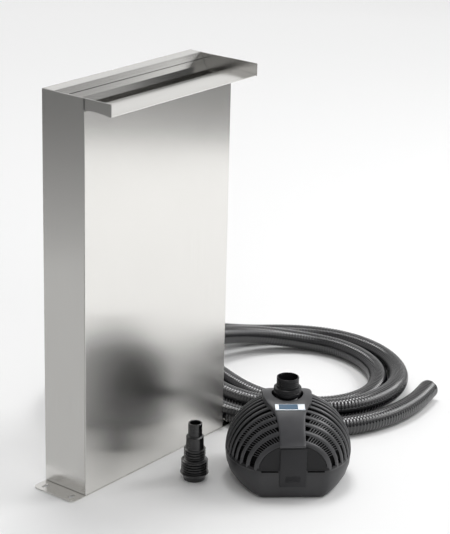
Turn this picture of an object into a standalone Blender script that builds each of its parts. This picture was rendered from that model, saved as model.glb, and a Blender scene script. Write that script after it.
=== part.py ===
"""Stainless waterfall column with its submersible pump, spiral hose and stepped hose adapter.

Metres, +Z up. The origin is the centre of the column's base, on the ground, and the spout pours
towards -Y. Each piece is one object. A moving piece hangs from an empty on its joint's axis.
"""

import math

import bmesh
import bpy
import numpy as np
from mathutils import Matrix, Vector

# Column
COLUMN_WIDTH = 0.320
COLUMN_DEPTH = 0.080
COLUMN_HEIGHT = 0.600
SPOUT_REACH = 0.048
FLANGE_REACH = 0.028
SHEET = 0.0012
BASE_SHEET = 0.002
GAP = 0.0003
TANK_FLOOR = 0.500
TANK_RIM = 0.574
INLET_HEIGHT = 0.034
PIPE_RADIUS = 0.0125
PIPE_BORE = 0.0105
ELBOW_RADIUS = 0.020
ELBOW_END = 0.002
LIP_CREST = COLUMN_HEIGHT - 0.0148
LIP_CREST_AT = -0.054
LIP_FALL_FRONT = 2.4
LIP_FALL_REAR = 6.8

# Hose
HOSE_RADIUS = 0.016
HOSE_POINTS = 80

# Pump, in its own frame: +Z up, front towards -Y
PUMP_PLACE = (0.093, -0.218, 0)
PUMP_YAW = math.radians(-47.8)
PUMP_RADIUS = 0.094
PUMP_FACE = 0.079
CORE_OFFSET = -0.004
RIM_HEIGHT = 0.045
CAGE_RISE = 0.087
CAGE_FULLNESS = 0.6
CAGE_WALL = 0.0025
RIB_PITCH = 0.01013
SLOT_WIDTH = 0.005
SLOT_COUNT = 15
SHELL_WALL = 0.003
CUT_MARGIN = 0.003
MOTOR_HEIGHT = 0.058
MOTOR_RADIUS = 0.029
VOLUTE_RADIUS = 0.038
VOLUTE_HALF_DEPTH = 0.014
BALL_HEIGHT = 0.113
BALL_RADIUS = 0.024
CUP_LOW = 0.0876
NECK_RADIUS = 0.0165
NECK_BORE = 0.0145
NOZZLE_TOP = 0.161
COLLAR_RADIUS = 0.0205
STRAP_OPENING = 0.0238
STRAP_THICKNESS = 0.0028
SHAFT_RADIUS = 0.002
BEARING_BORE = 0.0021
ROTOR_RADIUS = 0.013
ROTOR_WELL = 0.0145
COVER_RADIUS = 0.0365
COVER_FLAT = 0.0345
SCREW_CIRCLE = 0.0330
SCREW_RADIUS = 0.0019
SCREW_HOLE = 0.0022
FOOT_RADIUS = 0.008
FOOT_HEIGHT = 0.0014
LATCH_HALF_WIDTH = 0.0195
LATCH_TOP = 0.081
LATCH_LOW = 0.020

# Adapter: the steps of its outside, as radius and height from the foot up
ADAPTER_PLACE = (-0.0073, -0.1198, 0)
ADAPTER_HEIGHT = 0.091
ADAPTER_BORE = 0.0083

ROUND_STEPS = 24

# The hose's route: free end, two loops on the ground, behind the column, inlet
HOSE_ROUTE = [
    (0.478, -0.221, 0.016), (0.44, -0.231, 0.016), (0.4, -0.237, 0.016), (0.355, -0.235, 0.016),
    (0.31, -0.224, 0.016), (0.269, -0.204, 0.016), (0.233, -0.173, 0.016), (0.204, -0.132, 0.016),
    (0.186, -0.084, 0.017), (0.18, -0.035, 0.0186), (0.18, 0.012, 0.0186), (0.186, 0.062, 0.0186),
    (0.205, 0.11, 0.025), (0.237, 0.15, 0.038), (0.278, 0.18, 0.048), (0.325, 0.194, 0.052),
    (0.377, 0.189, 0.042), (0.423, 0.174, 0.028), (0.464, 0.152, 0.018), (0.498, 0.126, 0.016),
    (0.526, 0.095, 0.016), (0.548, 0.058, 0.016), (0.5605, 0.02, 0.016), (0.5635, -0.018, 0.016),
    (0.559, -0.052, 0.016), (0.548, -0.083, 0.016), (0.531, -0.112, 0.017), (0.508, -0.138, 0.019),
    (0.481, -0.161, 0.023), (0.452, -0.179, 0.027), (0.423, -0.193, 0.03), (0.39, -0.201, 0.031),
    (0.356, -0.202, 0.032), (0.322, -0.195, 0.032), (0.29, -0.178, 0.032), (0.261, -0.15, 0.031),
    (0.239, -0.112, 0.029), (0.226, -0.068, 0.027), (0.222, -0.02, 0.025), (0.227, 0.028, 0.025),
    (0.242, 0.073, 0.033), (0.271, 0.112, 0.045), (0.313, 0.138, 0.053), (0.361, 0.144, 0.048),
    (0.406, 0.135, 0.039), (0.448, 0.116, 0.031), (0.485, 0.087, 0.023), (0.511, 0.053, 0.017),
    (0.526, 0.016, 0.016), (0.525, -0.024, 0.016), (0.515, -0.064, 0.016), (0.494, -0.102, 0.016),
    (0.463, -0.134, 0.016), (0.424, -0.155, 0.016), (0.382, -0.164, 0.016), (0.341, -0.156, 0.016),
    (0.303, -0.133, 0.016), (0.276, -0.096, 0.016), (0.265, -0.052, 0.016), (0.268, -0.004, 0.016),
    (0.281, 0.042, 0.016), (0.3, 0.084, 0.016), (0.309, 0.125, 0.016), (0.302, 0.168, 0.016),
    (0.28, 0.207, 0.016), (0.243, 0.237, 0.016), (0.198, 0.252, 0.016), (0.15, 0.2495, 0.0165),
    (0.103, 0.234, 0.018), (0.062, 0.209, 0.023), (0.029, 0.179, 0.029), (0.0075, 0.148, 0.033),
    (0, 0.12, 0.034), (0, 0.1, 0.034), (0, 0.08, 0.034), (0, 0.0584, 0.034),
]

for old in list(bpy.data.objects):
    bpy.data.objects.remove(old, do_unlink=True)

PARTS = bpy.data.collections.new("waterfall_column_kit")
CUTTERS = bpy.data.collections.new("cutters")
bpy.context.scene.collection.children.link(PARTS)
bpy.context.scene.collection.children.link(CUTTERS)


# ---------------------------------------------------------------- materials


def make_material(name, colour, roughness, metallic=0.0):
    surface = bpy.data.materials.new(name)
    surface.use_nodes = True
    shader = surface.node_tree.nodes["Principled BSDF"]
    shader.inputs["Base Color"].default_value = (*colour, 1)
    shader.inputs["Roughness"].default_value = roughness
    shader.inputs["Metallic"].default_value = metallic
    surface.diffuse_color = (*colour, 1)
    return surface


STEEL = make_material("brushed_steel", (0.62, 0.61, 0.58), 0.32, 1.0)
BRIGHT_STEEL = make_material("screw_steel", (0.7, 0.7, 0.7), 0.2, 1.0)
HOSE_PVC = make_material("hose_pvc", (0.03, 0.03, 0.033), 0.3)
PUMP_PLASTIC = make_material("pump_plastic", (0.035, 0.035, 0.04), 0.45)
STRAP_PLASTIC = make_material("strap_plastic", (0.09, 0.09, 0.095), 0.5)
FITTING_PLASTIC = make_material("fitting_plastic", (0.02, 0.02, 0.022), 0.4)
BADGE_FILM = make_material("badge_film", (0.05, 0.22, 0.42), 0.25)
RUBBER = make_material("rubber", (0.03, 0.03, 0.03), 0.8)
CERAMIC = make_material("ceramic", (0.8, 0.78, 0.72), 0.3)
IMPELLER_PLASTIC = make_material("impeller_plastic", (0.55, 0.55, 0.52), 0.5)
MAGNET = make_material("rotor_sleeve", (0.12, 0.12, 0.13), 0.4)


# ---------------------------------------------------------------- helpers


def add_object(name, data, surface, parent=None, place=(0, 0, 0), turn=(0, 0, 0)):
    piece = bpy.data.objects.new(name, data)
    PARTS.objects.link(piece)
    piece.location = place
    piece.rotation_euler = turn
    piece.parent = parent
    data.materials.append(surface)
    return piece


def add_empty(name, place, turn=(0, 0, 0), parent=None):
    empty = bpy.data.objects.new(name, None)
    PARTS.objects.link(empty)
    empty.location = place
    empty.rotation_euler = turn
    empty.parent = parent
    empty.empty_display_size = 0.02
    return empty


def mesh_from(work, name):
    bmesh.ops.recalc_face_normals(work, faces=work.faces)
    data = bpy.data.meshes.new(name)
    work.to_mesh(data)
    work.free()
    return data


def box_mesh(low, high):
    low = Vector(low)
    high = Vector(high)
    work = bmesh.new()
    shape = Matrix.Translation((low + high) / 2) @ Matrix.Diagonal((*(high - low), 1))
    bmesh.ops.create_cube(work, size=1, matrix=shape)
    return mesh_from(work, "box")


def cylinder_mesh(radius, low, high, axis="Z", sides=ROUND_STEPS):
    """A solid cylinder between two points' heights along axis, given as its two end centres."""
    low = Vector(low)
    high = Vector(high)
    turn = {
        "X": Matrix.Rotation(math.pi / 2, 4, "Y"),
        "Y": Matrix.Rotation(-math.pi / 2, 4, "X"),
        "Z": Matrix.Identity(4),
    }[axis]
    work = bmesh.new()
    bmesh.ops.create_cone(
        work, cap_ends=True, segments=sides, radius1=radius, radius2=radius,
        depth=(high - low).length, matrix=Matrix.Translation((low + high) / 2) @ turn,
    )
    return mesh_from(work, "cylinder")


def sphere_mesh(radius, centre):
    work = bmesh.new()
    bmesh.ops.create_uvsphere(
        work, u_segments=ROUND_STEPS, v_segments=12, radius=radius,
        matrix=Matrix.Translation(centre),
    )
    return mesh_from(work, "sphere")


def combine(piece, data, operation):
    """Cuts the mesh from the piece, or joins it on, in the piece's own coordinates."""
    tool = bpy.data.objects.new(f"{piece.name}_tool", data)
    CUTTERS.objects.link(tool)
    tool.parent = piece
    tool.hide_render = True
    tool.display_type = "WIRE"
    change = piece.modifiers.new(operation.lower(), "BOOLEAN")
    change.operation = operation
    change.object = tool


def cut(piece, data):
    combine(piece, data, "DIFFERENCE")


def join(piece, data):
    combine(piece, data, "UNION")


def turned(name, profile, surface, parent=None, place=(0, 0, 0), turn=(0, 0, 0), steps=ROUND_STEPS):
    """A turned piece. The profile of (radius, height) runs down the outside, then up any bore."""
    data = bpy.data.meshes.new(name)
    count = len(profile)
    bored = profile[0][0] > 0
    edges = [(i, i + 1) for i in range(count - 1)]
    if bored:
        edges.append((count - 1, 0))
    data.from_pydata([(r, 0, z) for r, z in profile], edges, [])
    piece = add_object(name, data, surface, parent, place, turn)
    screw = piece.modifiers.new("turn", "SCREW")
    screw.steps = steps
    screw.render_steps = steps
    screw.use_merge_vertices = True
    screw.merge_threshold = 0.00001
    screw.use_smooth_shade = True
    return piece


def folded_sheet(name, profile, low_x, high_x, surface, thickness=SHEET):
    """A bent sheet: the profile of (y, z) is its upper face, drawn towards +Y."""
    count = len(profile)
    corners = [(x, y, z) for x in (low_x, high_x) for y, z in profile]
    faces = [(i, count + i, count + i + 1, i + 1) for i in range(count - 1)]
    data = bpy.data.meshes.new(name)
    data.from_pydata(corners, [], faces)
    piece = add_object(name, data, surface)
    add_thickness(piece, thickness)
    return piece


def add_thickness(piece, thickness):
    wall = piece.modifiers.new("wall", "SOLIDIFY")
    wall.thickness = thickness
    wall.offset = -1
    wall.use_even_offset = True


def flat_piece(name, outlines, thickness, surface, place=(0, 0, 0), turn=(0, 0, 0), parent=None):
    """A flat plate. The first outline is its edge, and any others are its holes."""
    data = bpy.data.curves.new(name, "CURVE")
    data.dimensions = "2D"
    data.fill_mode = "BOTH"
    data.extrude = thickness / 2
    for outline in outlines:
        spline = data.splines.new("POLY")
        spline.points.add(len(outline) - 1)
        for point, (x, y) in zip(spline.points, outline):
            point.co = (x, y, 0, 1)
        spline.use_cyclic_u = True
    return add_object(name, data, surface, parent, place, turn)


def rounded_rectangle(half_x, half_y, radius, centre=(0, 0), steps=6):
    points = []
    for corner in range(4):
        start = corner * math.pi / 2
        sign_x = 1 if corner in (0, 3) else -1
        sign_y = 1 if corner in (0, 1) else -1
        for step in range(steps + 1):
            angle = start + step / steps * math.pi / 2
            x = centre[0] + sign_x * (half_x - radius) + radius * math.cos(angle)
            y = centre[1] + sign_y * (half_y - radius) + radius * math.sin(angle)
            points.append((x, y))
    return points


def swept_tube(name, path, outer, inner, surface, sides=16):
    """An open-ended pipe along a path that stays in the plane x = 0."""
    work = bmesh.new()
    rings = []
    for index, point in enumerate(path):
        before = Vector(path[max(index - 1, 0)])
        after = Vector(path[min(index + 1, len(path) - 1)])
        along = (after - before).normalized()
        across = Vector((1, 0, 0))
        up = along.cross(across)
        ring = []
        for radius in (outer, inner):
            circle = []
            for side in range(sides):
                angle = 2 * math.pi * side / sides
                offset = across * math.cos(angle) + up * math.sin(angle)
                circle.append(work.verts.new(Vector(point) + offset * radius))
            ring.append(circle)
        rings.append(ring)
    for side in range(sides):
        after = (side + 1) % sides
        for ring, following in zip(rings, rings[1:]):
            for wall in (0, 1):
                a, b = ring[wall], following[wall]
                work.faces.new((a[side], a[after], b[after], b[side]))
        for ring in (rings[0], rings[-1]):
            work.faces.new((ring[0][side], ring[0][after], ring[1][after], ring[1][side]))
    return add_object(name, mesh_from(work, name), surface)


def smooth_shading(degrees=35):
    for piece in PARTS.objects:
        if piece.type == "MESH":
            piece.data.shade_smooth()
            piece.data.set_sharp_from_angle(angle=math.radians(degrees))


# ---------------------------------------------------------------- column


def lip_height(y):
    """The spout's upper face, a shallow arch that the water clings to."""
    fall = LIP_FALL_FRONT if y < LIP_CREST_AT else LIP_FALL_REAR
    return LIP_CREST - fall * (y - LIP_CREST_AT) ** 2


def make_base():
    half_x = COLUMN_WIDTH / 2 + FLANGE_REACH
    half_y = COLUMN_DEPTH / 2
    outlines = [rounded_rectangle(half_x, half_y, 0.008)]
    slot_x = COLUMN_WIDTH / 2 + FLANGE_REACH * 0.55
    for x in (-slot_x, slot_x):
        for y in (-0.026, 0.026):
            outlines.append(rounded_rectangle(0.006, 0.003, 0.0029, (x, y)))
    flat_piece("base_plate", outlines, BASE_SHEET, STEEL, (0, 0, BASE_SHEET / 2))


def make_front_panel():
    top = lip_height(-COLUMN_DEPTH / 2) - SHEET - 0.0015
    half_x = COLUMN_WIDTH / 2
    face = -COLUMN_DEPTH / 2
    low = (-half_x, face, BASE_SHEET + GAP)
    high = (half_x, face + SHEET, top)
    panel = add_object("front_panel", box_mesh(low, high), STEEL)
    edge = panel.modifiers.new("fold_edge", "BEVEL")
    edge.width = 0.0005
    edge.segments = 2
    edge.limit_method = "ANGLE"


def make_rear_casing():
    """The back and both sides, one U-shaped sheet with the inlet's hole."""
    half_x = COLUMN_WIDTH / 2
    front = -COLUMN_DEPTH / 2 + SHEET + GAP
    back = COLUMN_DEPTH / 2
    corners = [(-half_x, front), (-half_x, back), (half_x, back), (half_x, front)]
    low = BASE_SHEET + GAP
    count = len(corners)
    points = [(x, y, z) for z in (low, COLUMN_HEIGHT) for x, y in corners]
    faces = [(i + 1, i, count + i, count + i + 1) for i in range(count - 1)]
    data = bpy.data.meshes.new("rear_casing")
    data.from_pydata(points, [], faces)
    casing = add_object("rear_casing", data, STEEL)
    add_thickness(casing, SHEET)
    hole = cylinder_mesh(0.0172, (0, back - 0.01, INLET_HEIGHT), (0, back + 0.01, INLET_HEIGHT), "Y")
    cut(casing, hole)


def make_top_cover():
    """The flat rear flange, folded down to the baffle that calms the water."""
    back = COLUMN_DEPTH / 2 - SHEET - GAP
    profile = [
        (0.004, 0.540), (0.004, COLUMN_HEIGHT - 0.0245), (0.010, COLUMN_HEIGHT - 0.017),
        (0.018, COLUMN_HEIGHT), (back, COLUMN_HEIGHT),
    ]
    half_x = COLUMN_WIDTH / 2 - SHEET - GAP
    cover = folded_sheet("top_cover_baffle", profile, -half_x, half_x, STEEL)
    notch = half_x - SHEET - 3 * GAP
    for side in (-1, 1):
        ends = sorted((side * notch, side * (half_x + 0.01)))
        cut(cover, box_mesh((ends[0], -0.01, 0.530), (ends[1], 0.02, TANK_RIM + GAP)))


def make_spout_lip():
    """The curved lip, folded down behind to lap the tank's front wall."""
    rear = -0.0298
    front = -COLUMN_DEPTH / 2 - SPOUT_REACH + 0.0006
    steps = 10
    profile = [(front + (rear - front) * i / steps, 0) for i in range(steps + 1)]
    profile = [(y, lip_height(y)) for y, _ in profile]
    profile.append((rear, TANK_FLOOR + 0.03))
    half_x = COLUMN_WIDTH / 2 - SHEET - GAP
    folded_sheet("spout_lip", profile, -half_x, half_x, STEEL)


def make_cheek(name, outer_x):
    """One side of the spout, in line with the column's side and close up to its front edge."""
    start = -COLUMN_DEPTH / 2 + SHEET
    end = -COLUMN_DEPTH / 2 - SPOUT_REACH
    steps = 8
    outline = [(start, COLUMN_HEIGHT), (end + 0.0008, COLUMN_HEIGHT), (end, COLUMN_HEIGHT - 0.0008)]
    for i in range(steps + 1):
        y = end + (start - end) * i / steps
        outline.append((y, lip_height(y) - SHEET))
    centre_x = outer_x - math.copysign(SHEET / 2, outer_x)
    flat_piece(name, [outline], SHEET, STEEL, (centre_x, 0, 0), (math.pi / 2, 0, math.pi / 2))


def make_tank():
    """The overflow tank under the slot, an open box with a hole for its socket."""
    half_x = COLUMN_WIDTH / 2 - SHEET - 2 * GAP
    front = -0.0298 + 2 * GAP
    back = COLUMN_DEPTH / 2 - SHEET - 2 * GAP
    data = box_mesh((-half_x, front, TANK_FLOOR), (half_x, back, TANK_RIM))
    work = bmesh.new()
    work.from_mesh(data)
    lid = max(work.faces, key=lambda face: face.calc_center_median().z)
    bmesh.ops.delete(work, geom=[lid], context="FACES_ONLY")
    work.to_mesh(data)
    work.free()
    tank = add_object("overflow_tank", data, STEEL)
    add_thickness(tank, SHEET)
    cut(tank, cylinder_mesh(PIPE_RADIUS + 0.0042, (0, 0, TANK_FLOOR - 0.01), (0, 0, TANK_FLOOR + 0.01)))


def make_inner_plumbing():
    spigot_radius = PIPE_RADIUS + 0.0036
    top = TANK_FLOOR + SHEET + GAP
    turned("tank_socket", [
        (0.012, top + 0.003), (0.022, top + 0.003), (0.022, top), (spigot_radius, top),
        (spigot_radius, TANK_FLOOR - 0.022), (PIPE_RADIUS + 0.0003, TANK_FLOOR - 0.022),
        (PIPE_RADIUS + 0.0003, TANK_FLOOR - 0.006), (0.012, TANK_FLOOR - 0.006),
    ], FITTING_PLASTIC)
    turned("tank_socket_nut", [
        (spigot_radius + GAP, TANK_FLOOR - GAP), (0.023, TANK_FLOOR - GAP),
        (0.023, TANK_FLOOR - 0.009), (spigot_radius + GAP, TANK_FLOOR - 0.009),
    ], FITTING_PLASTIC)
    riser_start = INLET_HEIGHT + ELBOW_RADIUS + ELBOW_END + GAP
    turned("riser_pipe", [
        (PIPE_BORE, TANK_FLOOR - 0.0065), (PIPE_RADIUS, TANK_FLOOR - 0.0065),
        (PIPE_RADIUS, riser_start), (PIPE_BORE, riser_start),
    ], FITTING_PLASTIC)
    bend = [(0, ELBOW_RADIUS + ELBOW_END, INLET_HEIGHT)]
    bend_steps = 5
    for step in range(bend_steps + 1):
        angle = step / bend_steps * math.pi / 2
        y = ELBOW_RADIUS * (1 - math.sin(angle))
        z = INLET_HEIGHT + ELBOW_RADIUS * (1 - math.cos(angle))
        bend.append((0, y, z))
    bend.append((0, 0, INLET_HEIGHT + ELBOW_RADIUS + ELBOW_END))
    swept_tube("inlet_elbow", bend, PIPE_RADIUS, PIPE_BORE, FITTING_PLASTIC)


def make_inlet():
    """The socket that the hose enters at the column's back, with its gasket and locknut."""
    wall = COLUMN_DEPTH / 2
    inner = ELBOW_RADIUS + ELBOW_END + GAP
    thread = 0.0165
    along_y = (-math.pi / 2, 0, 0)
    place = (0, 0, INLET_HEIGHT)
    flange = wall + 0.0018
    turned("inlet_socket", [
        (0.014, 0.0577), (0.0195, 0.0577), (0.0195, flange + 0.003), (0.024, flange + 0.003),
        (0.024, flange), (thread, flange), (thread, inner), (PIPE_BORE, inner),
        (PIPE_BORE, 0.050), (0.014, 0.050),
    ], FITTING_PLASTIC, None, place, along_y)
    turned("inlet_gasket", [
        (thread + GAP, flange - GAP), (0.023, flange - GAP),
        (0.023, wall + GAP), (thread + GAP, wall + GAP),
    ], RUBBER, None, place, along_y)
    nut_back = wall - SHEET - GAP
    turned("inlet_locknut", [
        (thread + GAP, nut_back), (0.023, nut_back),
        (0.023, nut_back - 0.007), (thread + GAP, nut_back - 0.007),
    ], FITTING_PLASTIC, None, place, along_y)


def make_column():
    make_base()
    make_front_panel()
    make_rear_casing()
    make_top_cover()
    make_spout_lip()
    make_cheek("left_cheek", -COLUMN_WIDTH / 2)
    make_cheek("right_cheek", COLUMN_WIDTH / 2)
    make_tank()
    make_inner_plumbing()
    make_inlet()


# ---------------------------------------------------------------- hose


def curve_through(points, steps=24):
    """Points on a smooth curve through the given points, steps to each stretch."""
    points = np.array(points)
    padded = np.vstack([2 * points[0] - points[1], points, 2 * points[-1] - points[-2]])
    found = []
    for i in range(1, len(padded) - 2):
        a, b, c, d = padded[i - 1:i + 3]
        for step in range(steps):
            t = step / steps
            bend = (2 * a - 5 * b + 4 * c - d) * t * t + (3 * b - 3 * c + d - a) * t ** 3
            found.append(0.5 * (2 * b + (c - a) * t + bend))
    found.append(padded[-2])
    return np.array(found)


def evenly_spaced(points, count):
    """The same line with count points at equal distances along it."""
    steps = np.linalg.norm(np.diff(points, axis=0), axis=1)
    along = np.concatenate([[0], np.cumsum(steps)])
    wanted = np.linspace(0, along[-1], count)
    return np.column_stack([np.interp(wanted, along, points[:, k]) for k in range(3)])


def hose_centreline(count):
    """The hose's route with the small waves of its chosen points eased out."""
    line = evenly_spaced(curve_through(HOSE_ROUTE), 160)
    for _ in range(4):
        line[1:-1] = (line[:-2] + 2 * line[1:-1] + line[2:]) / 4
    return evenly_spaced(curve_through(line), count)


def make_hose():
    data = bpy.data.curves.new("hose", "CURVE")
    data.dimensions = "3D"
    data.bevel_depth = HOSE_RADIUS
    data.bevel_resolution = 3
    data.use_fill_caps = True
    spline = data.splines.new("POLY")
    line = hose_centreline(HOSE_POINTS)
    spline.points.add(len(line) - 1)
    for point, place in zip(spline.points, line):
        point.co = (*place, 1)
    add_object("hose", data, HOSE_PVC)


# ---------------------------------------------------------------- adapter


def make_adapter():
    """One moulding: two plain steps, two barbed steps and a foot ring, with a bore through it."""
    outside = [(0.01035, ADAPTER_HEIGHT), (0.01035, 0.0705), (0.0131, 0.0695), (0.0134, 0.0535)]
    barbed_steps = [(0.0150, 0.0163, 0.0520, 0.0350, 4), (0.0186, 0.0200, 0.0335, 0.0130, 5)]
    for root, tip, top, bottom, barbs in barbed_steps:
        pitch = (top - bottom) / barbs
        for barb in range(barbs):
            upper = top - barb * pitch
            outside.append((root, upper))
            outside.append((tip, upper - 0.75 * pitch))
    outside += [(0.0213, 0.0118), (0.0168, 0.0062), (0.0165, 0)]
    bore = [(0.0145, 0), (0.0145, 0.030), (ADAPTER_BORE, 0.055), (ADAPTER_BORE, ADAPTER_HEIGHT)]
    turned("hose_adapter", outside + bore, FITTING_PLASTIC, None, ADAPTER_PLACE)


# ---------------------------------------------------------------- pump


def cage_rise(y):
    return CAGE_RISE * (1 - (y / PUMP_RADIUS) ** 2) ** CAGE_FULLNESS


def cage_half_width(y):
    return PUMP_RADIUS * math.sqrt(1 - (y / PUMP_RADIUS) ** 2)


def cage_height(x, y):
    """The height of the cage's outer face above a point inside its plan."""
    across = min(abs(x) / cage_half_width(y), 1)
    return RIM_HEIGHT + GAP + cage_rise(y) * math.sqrt(1 - across ** 2)


def shell_outline(height, sides=40):
    """The lower shell's plan at a height: an ellipse with its front and back cut flat."""
    levels = (0.0017, 0.0035, 0.008, 0.018, 0.030, RIM_HEIGHT)
    half_x = np.interp(height, levels, (0.0705, 0.0745, 0.0805, 0.0883, 0.0926, PUMP_RADIUS))
    half_y = np.interp(height, levels, (0.100, 0.0995, 0.099, 0.097, 0.095, PUMP_RADIUS))
    face = np.interp(height, levels, (0.0765, 0.0778, PUMP_FACE, PUMP_FACE, PUMP_FACE, PUMP_FACE))
    outline = []
    for side in range(sides):
        angle = 2 * math.pi * (side + 0.5) / sides
        y = max(-face, min(face, half_y * math.sin(angle)))
        outline.append((half_x * math.cos(angle), y, height))
    return outline


def make_lower_shell(pump):
    work = bmesh.new()
    heights = (RIM_HEIGHT + CUT_MARGIN, RIM_HEIGHT - CUT_MARGIN, 0.030, 0.018, 0.008, 0.0035, 0.0017)
    rings = [[work.verts.new(point) for point in shell_outline(height)] for height in heights]
    for upper, lower in zip(rings, rings[1:]):
        for side in range(len(upper)):
            after = (side + 1) % len(upper)
            work.faces.new((lower[side], lower[after], upper[after], upper[side]))
    work.faces.new(list(reversed(rings[-1])))
    data = bpy.data.meshes.new("pump_lower_shell")
    work.to_mesh(data)
    work.free()
    shell = add_object("pump_lower_shell", data, PUMP_PLASTIC, pump)
    wall = shell.modifiers.new("wall", "SOLIDIFY")
    wall.thickness = SHELL_WALL
    wall.offset = -1
    cut(shell, box_mesh((-0.1, -0.1, RIM_HEIGHT), (0.1, 0.1, RIM_HEIGHT + 0.02)))
    cut(shell, cylinder_mesh(0.0065, (0, PUMP_FACE - 0.01, 0.026), (0, PUMP_FACE + 0.01, 0.026), "Y"))


def make_feet(pump):
    number = 0
    for x in (-0.036, 0.036):
        for y in (-0.052, 0.052):
            number += 1
            profile = [(0, FOOT_HEIGHT), (FOOT_RADIUS, FOOT_HEIGHT), (FOOT_RADIUS - 0.001, 0), (0, 0)]
            turned(f"pump_foot_{number}", profile, RUBBER, pump, (x, y, 0), steps=16)


def make_cage(cage):
    """The strainer's dome: arched ribs between a rim and a spine, with a flat front and back."""
    work = bmesh.new()
    stations = np.linspace(-PUMP_FACE, PUMP_FACE, 13)
    arches = []
    arch_steps = 18
    for y in stations:
        half = cage_half_width(y)
        outline = [(half, RIM_HEIGHT - CUT_MARGIN)]
        for step in range(arch_steps + 1):
            angle = math.pi * step / arch_steps
            outline.append((half * math.cos(angle), RIM_HEIGHT + GAP + cage_rise(y) * math.sin(angle)))
        outline.append((-half, RIM_HEIGHT - CUT_MARGIN))
        arches.append([work.verts.new((x, y, z)) for x, z in outline])
    for near, far in zip(arches, arches[1:]):
        for step in range(len(near) - 1):
            work.faces.new((near[step], far[step], far[step + 1], near[step + 1]))
    work.faces.new(arches[0])
    work.faces.new(list(reversed(arches[-1])))
    data = bpy.data.meshes.new("strainer_cage")
    work.to_mesh(data)
    work.free()
    dome = add_object("strainer_cage", data, PUMP_PLASTIC, cage)
    wall = dome.modifiers.new("wall", "SOLIDIFY")
    wall.thickness = CAGE_WALL
    wall.offset = -1
    cut(dome, box_mesh((-0.1, -0.1, RIM_HEIGHT - 0.02), (0.1, 0.1, RIM_HEIGHT + GAP)))
    cut(dome, slot_cutter())
    cut(dome, cylinder_mesh(STRAP_OPENING + 0.001, (CORE_OFFSET, 0, 0.1), (CORE_OFFSET, 0, 0.15)))


def slot_cutter():
    """All the slots between the ribs, as one mesh of separate blocks each side of the spine."""
    work = bmesh.new()
    low = RIM_HEIGHT + 0.0035
    high = RIM_HEIGHT + CAGE_RISE + 0.01
    inner = 0.016
    outer = PUMP_RADIUS + 0.01
    for slot in range(SLOT_COUNT):
        y = (slot - (SLOT_COUNT - 1) / 2) * RIB_PITCH
        for side in (-1, 1):
            centre = (side * (inner + outer) / 2, y, (low + high) / 2)
            size = (outer - inner, SLOT_WIDTH, high - low, 1)
            shape = Matrix.Translation(centre) @ Matrix.Diagonal(size)
            bmesh.ops.create_cube(work, size=1, matrix=shape)
    return mesh_from(work, "slots")


def strap_half_width(y):
    """Wide around the outlet, narrow where the strap comes down the front."""
    points = (-0.0815, -0.060, -0.036, 0.010, 0.026, 0.040)
    widths = (0.0187, 0.0198, 0.0250, 0.0365, 0.0365, 0.0260)
    return np.interp(y, points, widths)


def strap_centre(y):
    """The strap runs from the offset outlet back towards the middle of the front face."""
    return np.interp(y, (-PUMP_FACE, -0.037, -0.010), (-0.0015, -0.0032, CORE_OFFSET))


def strap_top(y):
    inside = min(abs(y), PUMP_FACE)
    level = RIM_HEIGHT + GAP + cage_rise(inside) + STRAP_THICKNESS
    return level - max(0, abs(y) - PUMP_FACE) * 0.9


def make_strap(cage):
    """The carrying strap: a band over the dome from the front face to behind the outlet."""
    front_stations = np.linspace(-0.0818, -0.040, 8)
    top_stations = np.linspace(-0.034, 0.030, 9)
    stations = np.concatenate([front_stations, top_stations, [0.0355, 0.040]])
    columns = np.linspace(-1, 1, 7)
    work = bmesh.new()
    sections = []
    for y in stations:
        half = strap_half_width(y)
        upper = []
        lower = []
        for column in columns:
            x = strap_centre(y) + column * half
            upper.append(work.verts.new((x, y, strap_top(y) - 0.0006 * column ** 2)))
            bottom = cage_height(x, max(y, -PUMP_FACE)) + GAP
            if y < -PUMP_FACE:
                bottom = LATCH_TOP + 0.0018
            lower.append(work.verts.new((x, y, bottom)))
        sections.append((upper, lower))
    last = len(columns) - 1
    for (upper_a, lower_a), (upper_b, lower_b) in zip(sections, sections[1:]):
        for i in range(last):
            work.faces.new((upper_a[i], upper_a[i + 1], upper_b[i + 1], upper_b[i]))
            work.faces.new((lower_a[i + 1], lower_a[i], lower_b[i], lower_b[i + 1]))
        work.faces.new((lower_a[0], upper_a[0], upper_b[0], lower_b[0]))
        work.faces.new((upper_a[last], lower_a[last], lower_b[last], upper_b[last]))
    for upper, lower in (sections[0], sections[-1]):
        for i in range(last):
            work.faces.new((upper[i], upper[i + 1], lower[i + 1], lower[i]))
    strap = add_object("carrying_strap", mesh_from(work, "carrying_strap"), STRAP_PLASTIC, cage)
    cut(strap, cylinder_mesh(STRAP_OPENING, (CORE_OFFSET, 0, 0.1), (CORE_OFFSET, 0, 0.15), sides=32))


def make_badge(cage):
    """A plain coloured plate that follows the strap in front of the outlet."""
    half_x = 0.0215
    start = -0.0435
    end = -0.031
    steps = 3
    work = bmesh.new()
    rows = []
    for step in range(steps + 1):
        y = start + (end - start) * step / steps
        row = []
        for x in (-half_x, half_x):
            row.append(work.verts.new((x + strap_centre(y), y, strap_top(y) + 0.0011)))
        rows.append(row)
    for near, far in zip(rows, rows[1:]):
        work.faces.new((near[0], near[1], far[1], far[0]))
    data = bpy.data.meshes.new("strap_badge")
    work.to_mesh(data)
    work.free()
    badge = add_object("strap_badge", data, BADGE_FILM, cage)
    add_thickness(badge, 0.0007)


def make_latch(pivot):
    """The clip that hooks the cage to the lower shell; it swings forward about its top edge."""
    thickness = 0.002
    low = (-LATCH_HALF_WIDTH, -thickness / 2, LATCH_LOW - LATCH_TOP)
    high = (LATCH_HALF_WIDTH, thickness / 2, 0.001)
    latch = add_object("front_latch", box_mesh(low, high), PUMP_PLASTIC, pivot)
    edge = latch.modifiers.new("edge", "BEVEL")
    edge.width = 0.0006
    edge.segments = 2


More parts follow.
